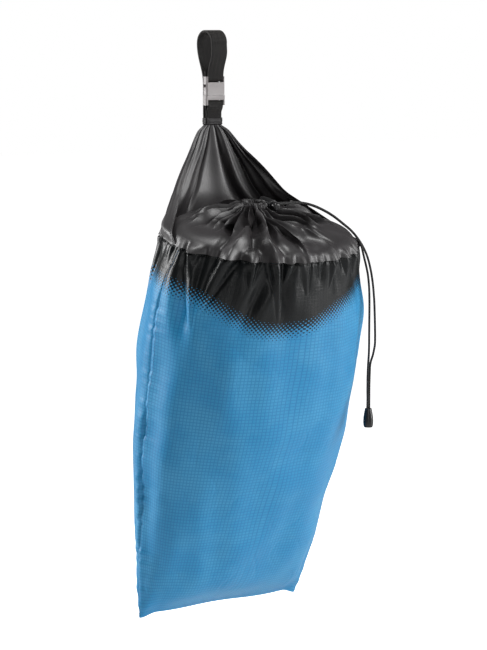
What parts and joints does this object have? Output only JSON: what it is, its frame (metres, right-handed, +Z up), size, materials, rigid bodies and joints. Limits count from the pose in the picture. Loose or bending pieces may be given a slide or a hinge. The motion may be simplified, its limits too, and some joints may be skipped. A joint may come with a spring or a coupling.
{
  "type": "hanging laundry bag",
  "caption": "Drawstring laundry bag hung by a back flap from a webbing loop with a side-release buckle; cord lock and bell cord end.",
  "frame": {"origin": "centre of the rail the webbing loop hangs from, which is the centre of the loop's inside top arc", "axes": "+Z up, along the hanging bag; +X across the bag's width, along the rail; -Y towards the bag's front"},
  "size_m": [0.2528, 0.201, 0.6072],
  "materials": {
    "ripstop": "satin",
    "satin": "satin",
    "webbing": "matte",
    "buckle_plastic": "satin",
    "lock_plastic": "satin",
    "spring_steel": "satin",
    "cord": "matte",
    "thread": "satin"
  },
  "bodies": {
    "bag": {"front_panel": "ripstop", "back_panel": "ripstop", "mouth_collar": "satin", "cord_tunnel": "satin", "hanging_flap_base": "satin", "hanging_flap_fold": "satin", "drawcord_ring": "cord", "drawcord_run": "cord", "side_seam_threads": "thread", "bottom_seam_thread": "thread", "collar_seam_thread": "thread", "tunnel_thread": "thread", "flap_base_hem_threads": "thread"},
    "flap": {"hanging_flap_tip": "satin", "apex_patch": "satin", "strap_ends": "webbing", "strap_fold": "webbing", "flap_tip_hem_threads": "thread", "apex_stitching": "thread"},
    "loop": {"loop_webbing": "webbing", "loop_front_leg": "webbing", "anchor_strap": "webbing", "buckle_plug": "buckle_plastic", "strap_tack_stitching": "thread"},
    "buckle_housing": {"buckle_housing": "buckle_plastic"},
    "prong_left": {"prong_left": "buckle_plastic"},
    "prong_right": {"prong_right": "buckle_plastic"},
    "cord_lock": {"cord_lock_body": "lock_plastic", "cord_lock_spring": "spring_steel"},
    "lock_plunger": {"cord_lock_plunger": "lock_plastic"},
    "cord_tail": {"drawcord_tails": "cord", "cord_end_cap": "lock_plastic", "cord_knot": "cord"}
  },
  "joints": [
    {"name": "flap_fold", "type": "hinge", "parent": "bag", "child": "flap", "pos_m": [0, -0.008, -0.127], "axis": [1, 0, 0], "range_deg": [-100, 50], "deforming": ["hanging_flap_fold"]},
    {"name": "loop_fold", "type": "hinge", "parent": "flap", "child": "loop", "pos_m": [0, -0.0005, -0.0772], "axis": [1, 0, 0], "range_deg": [-75, 60], "deforming": ["strap_fold"]},
    {"name": "buckle_withdraw", "type": "slide", "parent": "loop", "child": "buckle_housing", "axis": [0, 0, 1], "range_m": [0, 0.014], "deforming": ["loop_front_leg", "prong_left", "prong_right"]},
    {"name": "prong_left_squeeze", "type": "hinge", "parent": "loop", "child": "prong_left", "pos_m": [-0.007, -0.0035, -0.0577], "axis": [0, 1, 0], "range_deg": [0, 16], "stiffness_Nm_per_rad": 0.01},
    {"name": "prong_right_squeeze", "type": "hinge", "parent": "loop", "child": "prong_right", "pos_m": [0.007, -0.0035, -0.0577], "axis": [0, 1, 0], "range_deg": [-16, 0], "stiffness_Nm_per_rad": 0.01},
    {"name": "cord_lock_slide", "type": "slide", "parent": "bag", "child": "cord_lock", "axis": [1, 0, 0], "range_m": [0, 0.025]},
    {"name": "plunger_press", "type": "slide", "parent": "cord_lock", "child": "lock_plunger", "axis": [0, 0.9816, 0.1908], "range_m": [0, 0.003], "stiffness_N_per_m": 100, "springref_m": -0.001, "deforming": ["cord_lock_spring"]},
    {"name": "cord_tail_swing", "type": "hinge", "parent": "bag", "child": "cord_tail", "pos_m": [0.096, -0.12537, -0.20312], "axis": [0, -1, 0], "range_deg": [0, 45]}
  ],
  "couplings": [
    {"joint": "prong_right_squeeze", "follows": "prong_left_squeeze", "ratio": -1}
  ]
}
